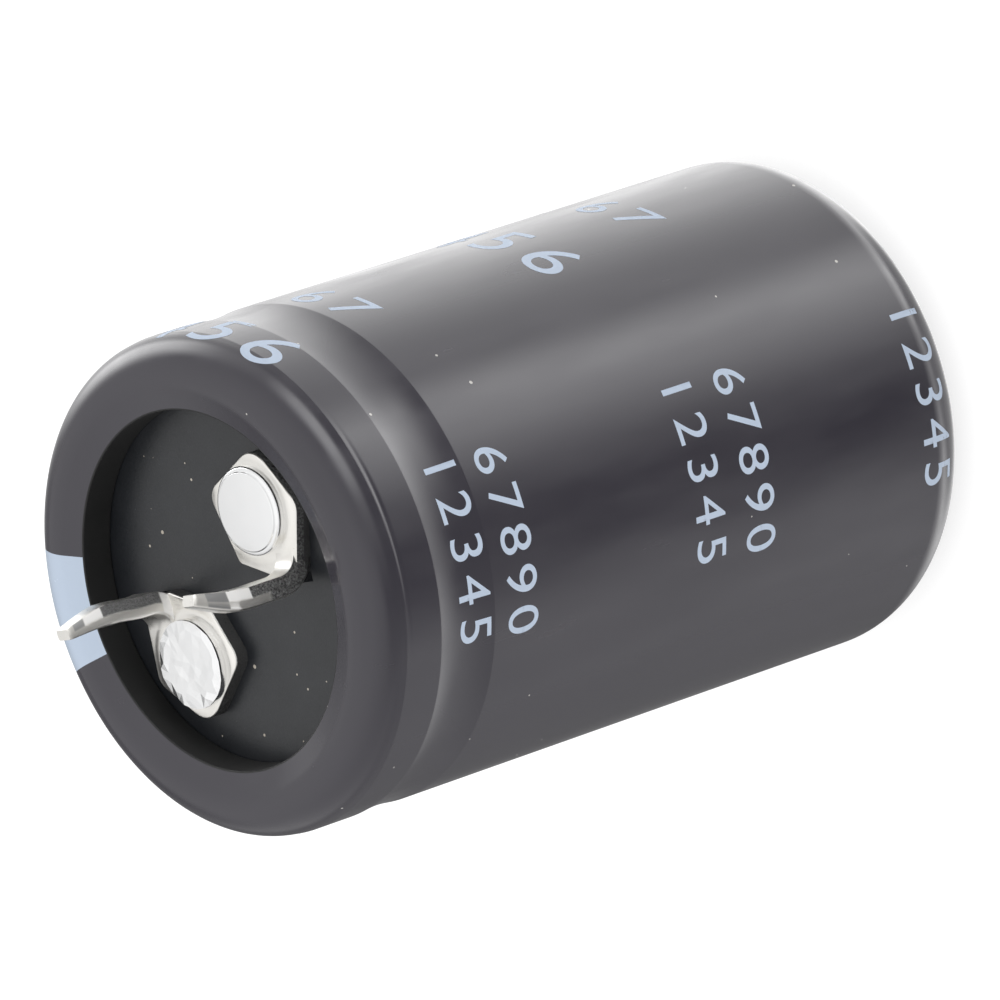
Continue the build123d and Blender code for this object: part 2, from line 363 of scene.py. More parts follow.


# Charcoal film with its pale stripe, faint ripples from shrinking and a little dust; the cut wall of
# the lip is painted near black as shade
def film_material():
    made, tree, shader = material("film")
    place = place_mm(tree)
    parts = add_node(tree, "ShaderNodeSeparateXYZ", {0: place})
    height = parts.outputs["Z"]
    across = hypot_of(tree, parts.outputs["X"], parts.outputs["Y"])
    bearing = maths(tree, "ARCTAN2", parts.outputs["Y"], parts.outputs["X"])
    off_stripe = maths(tree, "ABSOLUTE", bearing)
    stripe = maths(tree, "LESS_THAN", off_stripe, radians(STRIPE_HALF_ANGLE))
    cloud = noise(tree, place, 0.12, 2.0)
    charcoal = mixed(tree, cloud, (0.036, 0.0335, 0.043), (0.042, 0.0385, 0.050))
    pale = mixed(tree, cloud, (0.50, 0.59, 0.72), (0.53, 0.62, 0.75))
    colour = mixed(tree, stripe, charcoal, pale)
    dust = specks(tree, place, 1.35, 0.11, 0.3)
    colour = mixed(tree, maths(tree, "MULTIPLY", dust, 0.8), colour, (0.66, 0.64, 0.60))
    # Painted shade: the lip's inner wall is made near black
    below_lip = maths(tree, "LESS_THAN", height, BODY_LENGTH - LIP_DROP + LIP_SHADE_ABOVE)
    upper_half = maths(tree, "GREATER_THAN", height, BODY_LENGTH / 2)
    lip_inside = SLEEVE_RADIUS - RIM_WIDTH + FILM_WALL + LIP_SHADE_INSIDE
    wall = maths(tree, "LESS_THAN", across, lip_inside)
    painted_lip_shade = maths(tree, "MULTIPLY", maths(tree, "MULTIPLY", below_lip, upper_half), wall)
    colour = mixed(tree, painted_lip_shade, colour, (0.006, 0.006, 0.006))
    tree.links.new(colour, shader.inputs["Base Color"])
    smear = noise(tree, place_mm(tree, (1, 1, 0.25)), 0.5, 4.0)
    rough = slide(tree, smear, -0.1, 2.9)
    rough = maths(tree, "ADD", rough, maths(tree, "MULTIPLY", painted_lip_shade, 0.5))
    tree.links.new(rough, shader.inputs["Roughness"])
    shader.inputs["Specular IOR Level"].default_value = 0.6
    ripple = noise(tree, place_mm(tree, (1, 1, 0.4)), 0.3, 1.0)
    finish_bump(tree, shader, ripple, 0.05, 0.12)
    return made


# Pale ink, a touch duller than the film
def ink_material():
    made, tree, shader = material("ink")
    place = place_mm(tree)
    wear = noise(tree, place, 3.0, 3.0)
    colour = mixed(tree, wear, (0.47, 0.55, 0.68), (0.53, 0.62, 0.75))
    tree.links.new(colour, shader.inputs["Base Color"])
    tree.links.new(slide(tree, wear, -0.8, 1.6), shader.inputs["Roughness"])
    return made


# Matt black rubber with a fine grain and dust
def rubber_material():
    made, tree, shader = material("rubber")
    place = place_mm(tree)
    cloud = noise(tree, place, 0.6, 4.0, 0.6)
    colour = mixed(tree, cloud, (0.007, 0.0085, 0.011), (0.020, 0.022, 0.026))
    dust = specks(tree, place, 0.72, 0.11, 0.5)
    colour = mixed(tree, maths(tree, "MULTIPLY", dust, 0.75), colour, (0.62, 0.56, 0.47))
    tree.links.new(colour, shader.inputs["Base Color"])
    shader.inputs["Specular IOR Level"].default_value = 0.55
    grain = noise(tree, place, 9.0, 3.0, 0.65)
    tree.links.new(slide(tree, grain, -0.4, 2.1), shader.inputs["Roughness"])
    finish_bump(tree, shader, grain, 0.03, 0.25)
    return made


# Bright metal: tone and sheen drift a little, with fine rolling lines along one direction
def metal_material(name, dark, light, shine, lines=(1, 1, 1), depth=0.2):
    made, tree, shader = material(name)
    place = place_mm(tree)
    cloud = noise(tree, place, 0.8, 4.0)
    tree.links.new(mixed(tree, cloud, dark, light), shader.inputs["Base Color"])
    shader.inputs["Metallic"].default_value = 1.0
    grain = noise(tree, place_mm(tree, lines), 6.0, 4.0, 0.6)
    rough = maths(tree, "ADD", maths(tree, "MULTIPLY", grain, 0.16), shine)
    tree.links.new(rough, shader.inputs["Roughness"])
    finish_bump(tree, shader, grain, 0.01, depth)
    return made


# How far a side has to face along X to count as cut, and how far its outer half leans where the metal
# broke away; each mask rises between the two
CUT_FACING = (0.8, 0.88)
BROKEN_FACING = (0.06, 0.12)
UPRIGHT_FACING = 0.5
# Half the height over which a mask changes, in mm
FACET_BLUR = 0.04
ROOT_BLUR = 0.15
# Share of the sheet's thickness below which the positive plate's wall lies in shade
SUNK_SHARE = 0.45
# Ring round each rivet where the plate swells: its distance from the head and half its width, in mm
SWELL_OFFSET = 0.4
SWELL_HALF = 0.4


# Value that differs between the two terminals: the negative one stands at +X
def by_terminal(tree, at_positive_x, negative, positive):
    return blended(tree, at_positive_x, positive, negative)


# Masks on the tin plate, by height and facing on the object: cut sides, torn metal together with the
# painted shade of the plates' walls, the walls' darker painted shade, painted light on the neck's
# side, and a painted highlight band and a painted grey shade band on each blade
def tin_masks(tree, parts, negative):
    facing = add_node(tree, "ShaderNodeTexCoord").outputs["Normal"]
    facing = add_node(tree, "ShaderNodeSeparateXYZ", {0: facing})
    height = parts.outputs["Z"]
    rise = maths(tree, "SUBTRACT", height, BODY_LENGTH)
    side = slide(tree, maths(tree, "ABSOLUTE", facing.outputs["X"]), *CUT_FACING)
    outwards = maths(tree, "MULTIPLY", facing.outputs["Y"], -1.0)
    upwards = by_terminal(tree, negative, 0.0, facing.outputs["Z"])
    broken = slide(tree, maths(tree, "MAXIMUM", outwards, upwards), *BROKEN_FACING)
    broken = maths(tree, "MULTIPLY", side, broken)
    over = []
    for low, high in zip(NEGATIVE_CUT, POSITIVE_CUT):
        edge = maths(tree, "SUBTRACT", rise, by_terminal(tree, negative, low, high))
        over.append(slide(tree, edge, -FACET_BLUR, FACET_BLUR))
    bands = [maths(tree, "SUBTRACT", low, high) for low, high in zip(over, over[1:])]
    torn_and_wall_shade, painted_highlight, painted_grey_shade = (maths(tree, "MULTIPLY", broken, band) for band in bands)

    # Painted shade: the plates' upright walls below their rounded edge are darkened
    below_edge = maths(tree, "LESS_THAN", height, PLATE_TOP - PLATE_EDGE)
    upright = maths(tree, "ABSOLUTE", facing.outputs["Z"])
    upright = maths(tree, "LESS_THAN", upright, UPRIGHT_FACING)
    wall = maths(tree, "MULTIPLY", below_edge, upright)
    painted_wall_shade = maths(tree, "LESS_THAN", height, PLATE_TOP - SHEET * SUNK_SHARE)
    painted_wall_shade = maths(tree, "MULTIPLY", wall, maths(tree, "MAXIMUM", painted_wall_shade, negative))
    below_bend = maths(tree, "SUBTRACT", by_terminal(tree, negative, *TORN_ROOT), rise)
    root = maths(tree, "MULTIPLY", side, slide(tree, below_bend, -ROOT_BLUR, ROOT_BLUR))
    torn_and_wall_shade = maths(tree, "MAXIMUM", torn_and_wall_shade, maths(tree, "MAXIMUM", wall, root))

    # Painted light: the negative neck's cut side below the torn band is made bright
    neck_painted_light = maths(tree, "MULTIPLY", side, maths(tree, "SUBTRACT", 1.0, over[0]))
    neck_painted_light = maths(tree, "MULTIPLY", maths(tree, "SUBTRACT", neck_painted_light, torn_and_wall_shade), negative)
    neck_painted_light = maths(tree, "MAXIMUM", neck_painted_light, 0.0)
    return side, torn_and_wall_shade, painted_wall_shade, neck_painted_light, painted_highlight, painted_grey_shade


# Tin plate: bright, with the cut sides rough and dark where the metal broke away, the plates' walls
# painted dark as shade, painted light on the negative neck, a painted highlight band and a painted
# grey shade band on each blade, and a faint swell in the plate round each rivet
def tin_material():
    made, tree, shader = material("tin")
    place = place_mm(tree)
    parts = add_node(tree, "ShaderNodeSeparateXYZ", {0: place})
    negative = maths(tree, "GREATER_THAN", parts.outputs["X"], 0.0)
    side, torn_and_wall_shade, painted_wall_shade, neck_painted_light, painted_highlight, painted_grey_shade = tin_masks(tree, parts, negative)

    grit = slide(tree, noise(tree, place, 8.0, 5.0, 0.75), 0.42, 0.75)
    shade = by_terminal(tree, negative, 0.2, 0.1)
    spark = by_terminal(tree, negative, 0.36, 0.5)
    # Dark tone of the torn metal, also used as painted shade on the plates' walls; flat and darker
    # where the walls lie in shade
    tone = blended(tree, painted_wall_shade, blended(tree, grit, shade, spark), 0.12)
    dark = add_node(tree, "ShaderNodeCombineColor", {0: tone, 1: tone, 2: tone}).outputs[0]
    cloud = noise(tree, place, 0.8, 4.0)
    colour = mixed(tree, cloud, (0.83, 0.81, 0.765), (0.89, 0.875, 0.84))
    # Painted highlight on a band of each blade and painted light on the negative neck, then a painted
    # grey band of shade
    painted_light = maths(tree, "MAXIMUM", painted_highlight, neck_painted_light)
    colour = mixed(tree, painted_light, colour, (0.97, 0.965, 0.955))
    colour = mixed(tree, painted_grey_shade, colour, (0.5, 0.5, 0.5))
    tree.links.new(mixed(tree, torn_and_wall_shade, colour, dark), shader.inputs["Base Color"])
    shader.inputs["Metallic"].default_value = 1.0
    fine = noise(tree, place, 6.0, 4.0, 0.6)
    rough = maths(tree, "ADD", maths(tree, "MULTIPLY", fine, 0.16), 0.22)
    for mask, more in ((side, 0.22), (torn_and_wall_shade, 0.1), (painted_highlight, 0.35), (neck_painted_light, 0.35)):
        rough = maths(tree, "ADD", rough, maths(tree, "MULTIPLY", mask, more))
    tree.links.new(rough, shader.inputs["Roughness"])

    off_rivet = []
    for axis in ("X", "Y"):
        reach = maths(tree, "ABSOLUTE", parts.outputs[axis])
        off_rivet.append(maths(tree, "SUBTRACT", reach, RIVET_OFFSET))
    ring = maths(tree, "SUBTRACT", hypot_of(tree, *off_rivet), HEAD_RADIUS + SWELL_OFFSET)
    ring = maths(tree, "ABSOLUTE", ring)
    inputs = {"Value": ring, "From Min": SWELL_HALF, "From Max": 0.0}
    swell = add_node(tree, "ShaderNodeMapRange", inputs, interpolation_type="SMOOTHERSTEP")
    on_plate = maths(tree, "LESS_THAN", parts.outputs["Z"], HEAD_TOP)
    swell = maths(tree, "MULTIPLY", swell.outputs["Result"], on_plate)
    waves = noise(tree, place, 0.9, 1.0)
    height = maths(tree, "MULTIPLY", swell, 0.6)
    height = maths(tree, "ADD", height, maths(tree, "MULTIPLY", waves, 0.6))
    burrs = maths(tree, "MULTIPLY", grit, torn_and_wall_shade)
    height = maths(tree, "ADD", height, maths(tree, "MULTIPLY", burrs, 0.9))
    finish_bump(tree, shader, height, 0.05, 1.0)
    return made


# Dull board, paper or tape with its fibres along one direction
def fibre_material(name, dark, light, fibres, shine=0.7):
    made, tree, shader = material(name)
    place = place_mm(tree, fibres)
    grain = noise(tree, place, 4.0, 5.0, 0.65)
    tree.links.new(mixed(tree, grain, dark, light), shader.inputs["Base Color"])
    tree.links.new(slide(tree, grain, -shine, 2.0 - shine), shader.inputs["Roughness"])
    finish_bump(tree, shader, grain, 0.02, 0.4)
    return made


film = film_material()
ink = ink_material()
rubber = rubber_material()
tin = tin_material()
head_metal = metal_material("head_metal", (0.86, 0.865, 0.87), (0.91, 0.91, 0.91), 0.12)
drawn = metal_material("drawn", (0.72, 0.73, 0.74), (0.82, 0.82, 0.82), 0.3, (1, 1, 0.1), 0.4)
strip = metal_material("strip", (0.74, 0.74, 0.74), (0.84, 0.84, 0.83), 0.28, (0.15, 1, 1), 0.3)
board = fibre_material("board", (0.20, 0.10, 0.045), (0.33, 0.18, 0.08), (1, 0.2, 1))
paper = fibre_material("paper", (0.55, 0.49, 0.38), (0.72, 0.66, 0.53), (1, 1, 0.2))
tape = fibre_material("tape", (0.42, 0.29, 0.12), (0.55, 0.41, 0.20), (0.3, 0.3, 1), 0.5)


# Sleeve


# Half section of the film: outside from the closed end up to the lip, then back down its inside
def film_section():
    radius = SLEEVE_RADIUS - FILM_TUCK
    crest = BODY_LENGTH
    lip = SLEEVE_RADIUS - RIM_WIDTH
    groove_length = GROOVE_END - GROOVE_TOP
    turn_in = GROOVE_DEPTH * 4 / groove_length * GROOVE_TURN
    lower = [
        (SLEEVE_RADIUS - BASE_WRAP, 0),
        (radius, 0),
        (radius, crest - GROOVE_END),
        (radius - turn_in, crest - GROOVE_END + GROOVE_TURN),
    ]
    upper = [
        (radius - turn_in, crest - GROOVE_TOP - GROOVE_TURN),
        (radius, crest - GROOVE_TOP),
        (radius, crest - RIM_CREASE),
        (radius - (RIM_CREASE + RIM_PEAK) * RIM_LEAN, crest + RIM_PEAK),
        (lip, crest - LIP_DROP),
        (lip, crest - LIP_FOOT),
    ]
    groove = []
    for i in range(1, GROOVE_PIECES):
        rise = GROOVE_TURN + i / GROOVE_PIECES * (groove_length - 2 * GROOVE_TURN)
        share = rise / groove_length
        depth = 4 * GROOVE_DEPTH * share * (1 - share)
        groove.append((radius - depth, crest - GROOVE_END + rise))
    step = radians(5)
    inner = lip + FILM_WALL
    inside = [(inner, crest - LIP_FOOT), (inner, crest - LIP_DROP - LIP_EDGE)]
    return (
        rounded(lower, [BASE_CORNER, CREASE], step)
        + groove
        + rounded(upper, [CREASE, CREASE, RIM_CORNER, LIP_EDGE], step)
        + inside
    )


# The film's unevenness: a small ridge where it turns over the can's rim on one side, and a lip that
# shrank a little oval
def film_unevenness(radius, height, angle):
    below = BODY_LENGTH - height
    crown = SLEEVE_RADIUS - RIM_CROWN
    if radius < crown and below < LIP_FOOT + 1:
        reach = min(1, (crown - radius) / (RIM_WIDTH - RIM_CROWN))
        return radius + LIP_OVAL * cos(2 * angle) * reach, height
    if radius < SLEEVE_RADIUS - RIDGE_WALL or below > RIDGE_REACH:
        return radius, height
    away = (angle - radians(RIDGE_BEARING)) / radians(RIDGE_SPREAD)
    swell = exp(-away * away) * exp(-(((below - RIDGE_BELOW) / RIDGE_WIDTH) ** 2))
    return radius - RIDGE_DEPTH * swell, height


def make_sleeve():
    section = film_section()
    fine = []
    for (r1, z1), (r2, z2) in zip(section, section[1:]):
        length = hypot(r2 - r1, z2 - z1)
        pieces = max(1, round(length / SECTION_STEP))
        shares = [i / pieces for i in range(pieces)]
        if length > STRAIGHT_RUN:
            shares += [CREASE_GAP / length, 1 - CREASE_GAP / length]
        outer = r1 > SLEEVE_RADIUS - OUTER_WALL and z1 > BODY_LENGTH - GROOVE_TOP
        if length > RIM_RUN and outer:
            shares += [i * CREASE_GAP / length for i in range(2, int(length / CREASE_GAP))]
        for t in sorted(shares):
            fine.append((r1 + t * (r2 - r1), z1 + t * (z2 - z1)))
    fine.append(section[-1])
    sleeve = revolve("sleeve_film", fine, SLEEVE_TURNS, shift=film_unevenness)
    sleeve.data.materials.append(film)
    return dress(sleeve, "sleeve")


# The film's outer section from the base corner to the rim, as points with their way along it from
# the middle height, in mm
def film_walk():
    middle = BODY_LENGTH / 2
    walks = []
    for sign in (1, -1):
        walk = [(0, SLEEVE_RADIUS - FILM_TUCK, middle)]
        half = [point for point in film_section() if (point[1] - middle) * sign > 0]
        for radius, height in half[::sign]:
            way, last_radius, last_height = walk[-1]
            if radius < SLEEVE_RADIUS - RIM_CROWN:
                break
            step = hypot(radius - last_radius, height - last_height)
            walk.append((way + sign * step, radius, height))
        walks.append(walk)
    upward, downward = walks
    return downward[:0:-1] + upward


# Radius and height of a point lifted off the film, that way along it
def film_place(walk, way):
    for (start, r1, z1), (end, r2, z2) in zip(walk, walk[1:]):
        if start <= way <= end:
            t = (way - start) / (end - start)
            run = hypot(r2 - r1, z2 - z1)
            out_r = (z2 - z1) / run * PRINT_LIFT
            out_z = (r1 - r2) / run * PRINT_LIFT
            return r1 + t * (r2 - r1) + out_r, z1 + t * (z2 - z1) + out_z
    raise ValueError("print reaches past the film's outer section")


# Figures laid on the film between two bearings, tops to the closed end, centred that far below the
# crest
def wrap_print(name, figures, height, start, end, below_crest, walk):
    curve = bpy.data.curves.new(name, "FONT")
    curve.body = figures
    curve.space_character = PRINT_SPACING
    text = bpy.data.objects.new(name, curve)
    mesh = bpy.data.meshes.new_from_object(text)
    bpy.data.objects.remove(text)
    edit = bmesh.new()
    edit.from_mesh(mesh)
    low = [min(v.co[i] for v in edit.verts) for i in range(2)]
    high = [max(v.co[i] for v in edit.verts) for i in range(2)]
    width = radians(start - end) * SLEEVE_RADIUS
    for vertex in edit.verts:
        across = (vertex.co.x - low[0]) / (high[0] - low[0]) * width
        up = ((vertex.co.y - low[1]) / (high[1] - low[1]) - 0.5) * height
        vertex.co = (across, up, 0)
    for axis, reach in (((1, 0, 0), width), ((0, 1, 0), height / 2)):
        for cut in range(-int(height / 2 / PRINT_CUT), int(reach / PRINT_CUT) + 1):
            everything = edit.verts[:] + edit.edges[:] + edit.faces[:]
            at = Vector(axis) * (cut * PRINT_CUT)
            bmesh.ops.bisect_plane(edit, geom=everything, plane_co=at, plane_no=axis)
    for vertex in edit.verts:
        angle = radians(start) - vertex.co.x / SLEEVE_RADIUS
        way = BODY_LENGTH / 2 - below_crest - vertex.co.y
        radius, level = film_place(walk, way)
        vertex.co = Vector((radius * cos(angle), radius * sin(angle), level)) * MM
    edit.to_mesh(mesh)
    edit.free()
    mesh.materials.clear()
    mesh.materials.append(ink)
    for polygon in mesh.polygons:
        polygon.use_smooth = True
    return dress(new_object(name, mesh))


def make_print():
    walk = film_walk()
    for row, figures, height, start, end, blocks in PRINT_ROWS:
        for block, below in enumerate(blocks):
            wrap_print(f"{row}_{block}", figures, height, start, end, below, walk)


# Terminals


# Section of the blade, given half its width and half its thickness: each cut side runs straight to
# the middle of the sheet and leans in from there, where the metal broke away
def blade_section(half_width, half_thickness):
    step = half_thickness * BROKEN_LEAN
    corners = [
        (0, -half_thickness),
        (half_width, -half_thickness),
        (half_width, 0),
        (half_width - step, half_thickness),
        (0, half_thickness),
        (step - half_width, half_thickness),
        (-half_width, 0),
        (-half_width, -half_thickness),
        (0, -half_thickness),
    ]
    rolled = half_thickness * ROLLED_EDGE
    broken = half_thickness * BROKEN_EDGE
    radii = [rolled, 0, broken, 0, broken, 0, rolled]
    return rounded(corners, radii, 1, 5)[:-1]


# Middle line of the strip in its own upright plane: along the plate, round the bend, up the blade
def blade_path(root, kink, tip):
    middle = PLATE_TOP - SHEET / 2 - STRIP_TUCK
    bend = BEND_INSIDE + SHEET / 2
    corners = [
        (root + bend + STRIP_OVERLAP, middle),
        (root, middle),
        (root, BODY_LENGTH + BEND_RISE),
        (kink, BODY_LENGTH + KINK_RISE),
        (tip, BODY_LENGTH + TIP_RISE - TIP_TUCK),
    ]
    return rounded(corners, [bend, BLADE_ROUND, BLADE_ROUND], radians(4))


# Bent strip of one terminal as rings of points round its middle line
def strip_mesh(path, broken_way, flare):
    kink_level = BODY_LENGTH + KINK_RISE
    tip_level = BODY_LENGTH + TIP_RISE
    fine = []
    for (y1, z1), (y2, z2) in zip(path, path[1:]):
        pieces = max(1, round(hypot(y2 - y1, z2 - z1) / RING_STEP))
        for i in range(pieces):
            fine.append((y1 + (y2 - y1) * i / pieces, z1 + (z2 - z1) * i / pieces))
    fine.append(path[-1])
    rings = []
    for index, (y, z) in enumerate(fine):
        before = Vector(fine[max(index - 1, 0)])
        after = Vector(fine[min(index + 1, len(fine) - 1)])
        along = (after - before).normalized()
        out = Vector((-along.y, along.x))
        taper = min(1, max(0, (z - kink_level) / (tip_level - kink_level)))
        width = BLADE_WIDTH + (TIP_WIDTH - BLADE_WIDTH) * taper
        thickness = SHEET + (TIP_THICKNESS - SHEET) * taper
        end = max(0, 1 - (tip_level - z) / TIP_BLUNTED) if z > kink_level else 0
        shrink = 1 - TIP_SHRINK * end**2
        share = min(1, max(0, (BODY_LENGTH - FLARE_FROM - z) / FLARE_RISE))
        spread = flare * share * share * (3 - 2 * share)
        ring = []
        for across, through in blade_section(width / 2 * shrink, thickness / 2 * shrink):
            place = Vector((y, z)) + out * (through * broken_way)
            ring.append((BLADE_X + across + (spread if across > 0 else 0), place.x, place.y))
        rings.append(ring)
    points = [point for ring in rings for point in ring]
    count = len(rings[0])
    faces = []
    for start in range(0, len(points) - count, count):
        for i in range(count):
            j = (i + 1) % count
            faces.append((start + i, start + j, start + count + j, start + count + i))
    faces.append(tuple(range(count))[::-1])
    faces.append(tuple(range(len(points) - count, len(points))))
    return points, faces


# Closed outline of the plate, turned about its rivet as the real ones are
def plate_outline(turn, flare):
    lean = radians(turn)

    def lobe(across, along):
        x = RIVET_OFFSET + across * cos(lean) - along * sin(lean)
        y = RIVET_OFFSET + across * sin(lean) + along * cos(lean)
        return (x, y)

    corners = [
        (BLADE_X, 0),
        (BLADE_X - BLADE_WIDTH / 2, 0),
        (RIVET_OFFSET + PLATE_WAIST[0], RIVET_OFFSET + PLATE_WAIST[1]),
        lobe(-PLATE_HALF, PLATE_SHOULDER),
        lobe(*PLATE_APEX),
        lobe(PLATE_HALF, PLATE_SHOULDER),
        (BLADE_X + BLADE_WIDTH / 2 + flare - NECK_TUCK, NECK_CUT),
        (BLADE_X, 0),
    ]
    radii = [
        NECK_CORNER,
        PLATE_WAIST_RADIUS,
        PLATE_SHOULDER_RADIUS,
        PLATE_APEX_RADIUS,
        PLATE_SHOULDER_RADIUS,
        NECK_CORNER,
    ]
    return [Vector(p) for p in rounded(corners, radii, radians(9))[:-1]]


# Plate with a rounded upper edge
def add_plate(edit, turn, flare):
    foot = (PLATE_TOP - SHEET) * MM
    outline = [edit.verts.new((x * MM, y * MM, foot)) for x, y in plate_outline(turn, flare)]
    base = edit.faces.new(outline)
    made = bmesh.ops.extrude_face_region(edit, geom=[base])
    raised = [item for item in made["geom"] if isinstance(item, bmesh.types.BMVert)]
    bmesh.ops.translate(edit, verts=raised, vec=(0, 0, SHEET * MM))
    rim = [edge for edge in edit.edges if all(vertex in raised for vertex in edge.verts)]
    bmesh.ops.bevel(
        edit, geom=rim, offset=PLATE_EDGE * MM, segments=3, profile=0.5, affect="EDGES"
    )


# One terminal as a single piece. broken_way is the side of the strip where its cut edges broke away,
# and half_turn puts the terminal on the other side of the can
def make_terminal(node, shape, broken_way, half_turn):
    root, kink, tip, turn, flare = shape
    points, faces = strip_mesh(blade_path(root, kink, tip), broken_way, flare)
    mesh = mesh_from(node + "_formed", points, faces)
    edit = bmesh.new()
    add_plate(edit, turn, flare)
    edit.from_mesh(mesh)
    if half_turn:
        bmesh.ops.rotate(edit, verts=edit.verts, matrix=Matrix.Rotation(pi, 3, "Z"))
    bmesh.ops.recalc_face_normals(edit, faces=edit.faces)
    edit.to_mesh(mesh)
    edit.free()
    for polygon in mesh.polygons:
        polygon.use_smooth = True
    mesh.set_sharp_from_angle(angle=radians(22))
    mesh.materials.append(tin)
    return dress(new_object(node + "_formed", mesh), node)


# Rivets


# Half section of a rivet below its face: wall of the head, shank and the head inside the can
def rivet_body(face_edge):
    inner_top = RIVET_FOOT + INNER_HEAD_HEIGHT
    return face_edge + [
        (HEAD_RADIUS, PLATE_TOP),
        (SHANK_RADIUS, PLATE_TOP),
        (SHANK_RADIUS, inner_top),
        (HEAD_RADIUS, inner_top),
        (HEAD_RADIUS, RIVET_FOOT),
        (AXIS, RIVET_FOOT),
    ]


def make_smooth_rivet():
    step = HEAD_RADIUS - STEP_IN
    corners = [
        (AXIS, HEAD_TOP),
        (step, HEAD_TOP),
        (step + STEP_RUN, HEAD_TOP - STEP_DROP),
        (HEAD_RADIUS, HEAD_TOP - SMOOTH_EDGE_DROP),
        (HEAD_RADIUS, PLATE_TOP),
    ]
    face = rounded(corners, [*STEP_ROUNDS, HEAD_ROUND], radians(15))
    centre = (-RIVET_OFFSET, SMOOTH_HEAD_SHIFT - RIVET_OFFSET)
    piece = revolve("rivet_smooth", rivet_body(face[:-1]), HEAD_TURNS, centre)
    piece.data.set_sharp_from_angle(angle=radians(40))
    piece.data.materials.append(head_metal)
    return dress(piece, "rivet_positive")


# Hammered head: its face is a net of small flats at random heights, inside a ragged rim
def make_hammered_rivet():
    chance = random.Random(7)
    rim = []
    for i in range(EDGE_POINTS):
        angle = 2 * pi * i / EDGE_POINTS
        rim.append(Vector((HEAD_RADIUS * cos(angle), HEAD_RADIUS * sin(angle))))
    inside = []
    while len(inside) < FACET_POINTS:
        spot = Vector((chance.uniform(-1, 1), chance.uniform(-1, 1))) * HEAD_RADIUS
        apart = all((spot - other).length > FACET_GAP for other in inside)
        if spot.length < HEAD_RADIUS * FACET_REACH and apart:
            inside.append(spot)
    spots, _, flats, *_ = delaunay_2d_cdt(rim + inside, [], [], 0, 1e-6)
    points = []
    for spot in spots:
        level = HEAD_TOP - chance.uniform(0, 1) * FACET_RELIEF
        if spot.length > HEAD_RADIUS * EDGE_SHARE:
            level -= EDGE_DROP + chance.uniform(0, 1) * EDGE_RELIEF
        points.append((RIVET_OFFSET + spot.x, RIVET_OFFSET + spot.y, level))
    mesh = mesh_from("rivet_hammered", points, [list(flat) for flat in flats], False)
    face = new_object("rivet_hammered", mesh)
    wall = rivet_body([(HEAD_RADIUS, HEAD_TOP - HAMMERED_WALL_DROP)])
    body = revolve("rivet_hammered_body", wall, HEAD_TURNS, (RIVET_OFFSET, RIVET_OFFSET))
    body.data.set_sharp_from_angle(angle=radians(40))
    for piece in (face, body):
        piece.data.materials.append(head_metal)
        dress(piece, "rivet_negative")


make_sleeve()
make_print()
make_terminal("terminal_negative", NEGATIVE_BLADE, 1, False)
make_terminal("terminal_positive", POSITIVE_BLADE, -1, True)
make_smooth_rivet()
make_hammered_rivet()


# Finish of the CAD nodes themselves, also of those that a piece replaces
NODE_FINISH = {
    "can": drawn,
    "seal_rubber": rubber,
    "seal_board": board,
    "terminal_negative": tin,
    "terminal_positive": tin,
    "rivet_negative": head_metal,
    "rivet_positive": head_metal,
    "tab_negative": strip,
    "tab_positive": strip,
    "washer_negative": strip,
    "washer_positive": strip,
    "winding": paper,
    "winding_tape": tape,
}
for name, finish in NODE_FINISH.items():
    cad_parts[name].data.materials.clear()
    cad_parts[name].data.materials.append(finish)


# Camera, light and floor


def make_camera():
    data = bpy.data.cameras.new("camera")
    data.sensor_width = SENSOR
    data.lens = SENSOR * FOCAL_PIXELS / IMAGE_PIXELS
    data.clip_start = 0.01
    data.clip_end = 20
    camera = bpy.data.objects.new("camera", data)
    back = CAMERA_RIGHT.cross(CAMERA_UP)
    turn = Matrix((CAMERA_RIGHT, CAMERA_UP, back)).transposed()
    camera.matrix_world = Matrix.Translation(CAMERA_PLACE) @ turn.to_4x4()
    bpy.context.collection.objects.link(camera)
    bpy.context.scene.camera = camera


# Light that gloss finds round the can; what a camera sees of the room stays plain white. Each list
# gives how bright it is at bearings about the upright, in degrees: first far below the horizon
LOWER_GLOW = (
    (-180, 0.1),
    (-165, 0.7),
    (-147, 2.15),
    (-127, 3.75),
    (-107, 1.35),
    (-87, 1.55),
    (-60, 2.25),
    (-30, 2.1),
    (-15, 1.75),
    (-2, 1.35),
    (6, 1.0),
    (14, 0.3),
    (33, 0.2),
    (53, 0.3),
    (73, 0.47),
    (93, 0.68),
    (113, 0.85),
    (133, 0.85),
    (150, 0.3),
    (168, 0.0),
    (180, 0.1),
)
# Just under the horizon
HORIZON_GLOW = (
    (-180, 0.15),
    (-147, 0.3),
    (-127, 0.25),
    (-107, 0.5),
    (-87, 0.6),
    (-67, 1.0),
    (-47, 1.4),
    (-20, 1.5),
    (-5, 0.8),
    (5, 0.3),
    (30, 0.2),
    (93, 0.55),
    (133, 0.6),
    (153, 0.3),
    (173, 0.1),
    (180, 0.15),
)
# Level with the can
LEVEL_GLOW = (
    (-180, 0.5),
    (-158, 1.2),
    (-140, 4.0),
    (-112, 4.0),
    (-94, 1.0),
    (-70, 1.4),
    (-50, 4.5),
    (-25, 4.5),
    (-8, 0.5),
    (5, 0.25),
    (20, 0.2),
    (45, 0.8),
    (120, 0.7),
    (165, 0.2),
    (180, 0.5),
)
# High up, and overhead
SKY_GLOW = 0.8
TOP_GLOW = 1.1
# Added steeply below, where the table lies near the can
NEAR_GLOW = (
    (-180, 2.5),
    (-110, 2.5),
    (-80, 1.7),
    (-40, 1.1),
    (0, 0.8),
    (40, 1.2),
    (90, 2.2),
    (180, 2.5),
)
# Straight underneath
UNDER_GLOW = 0.9
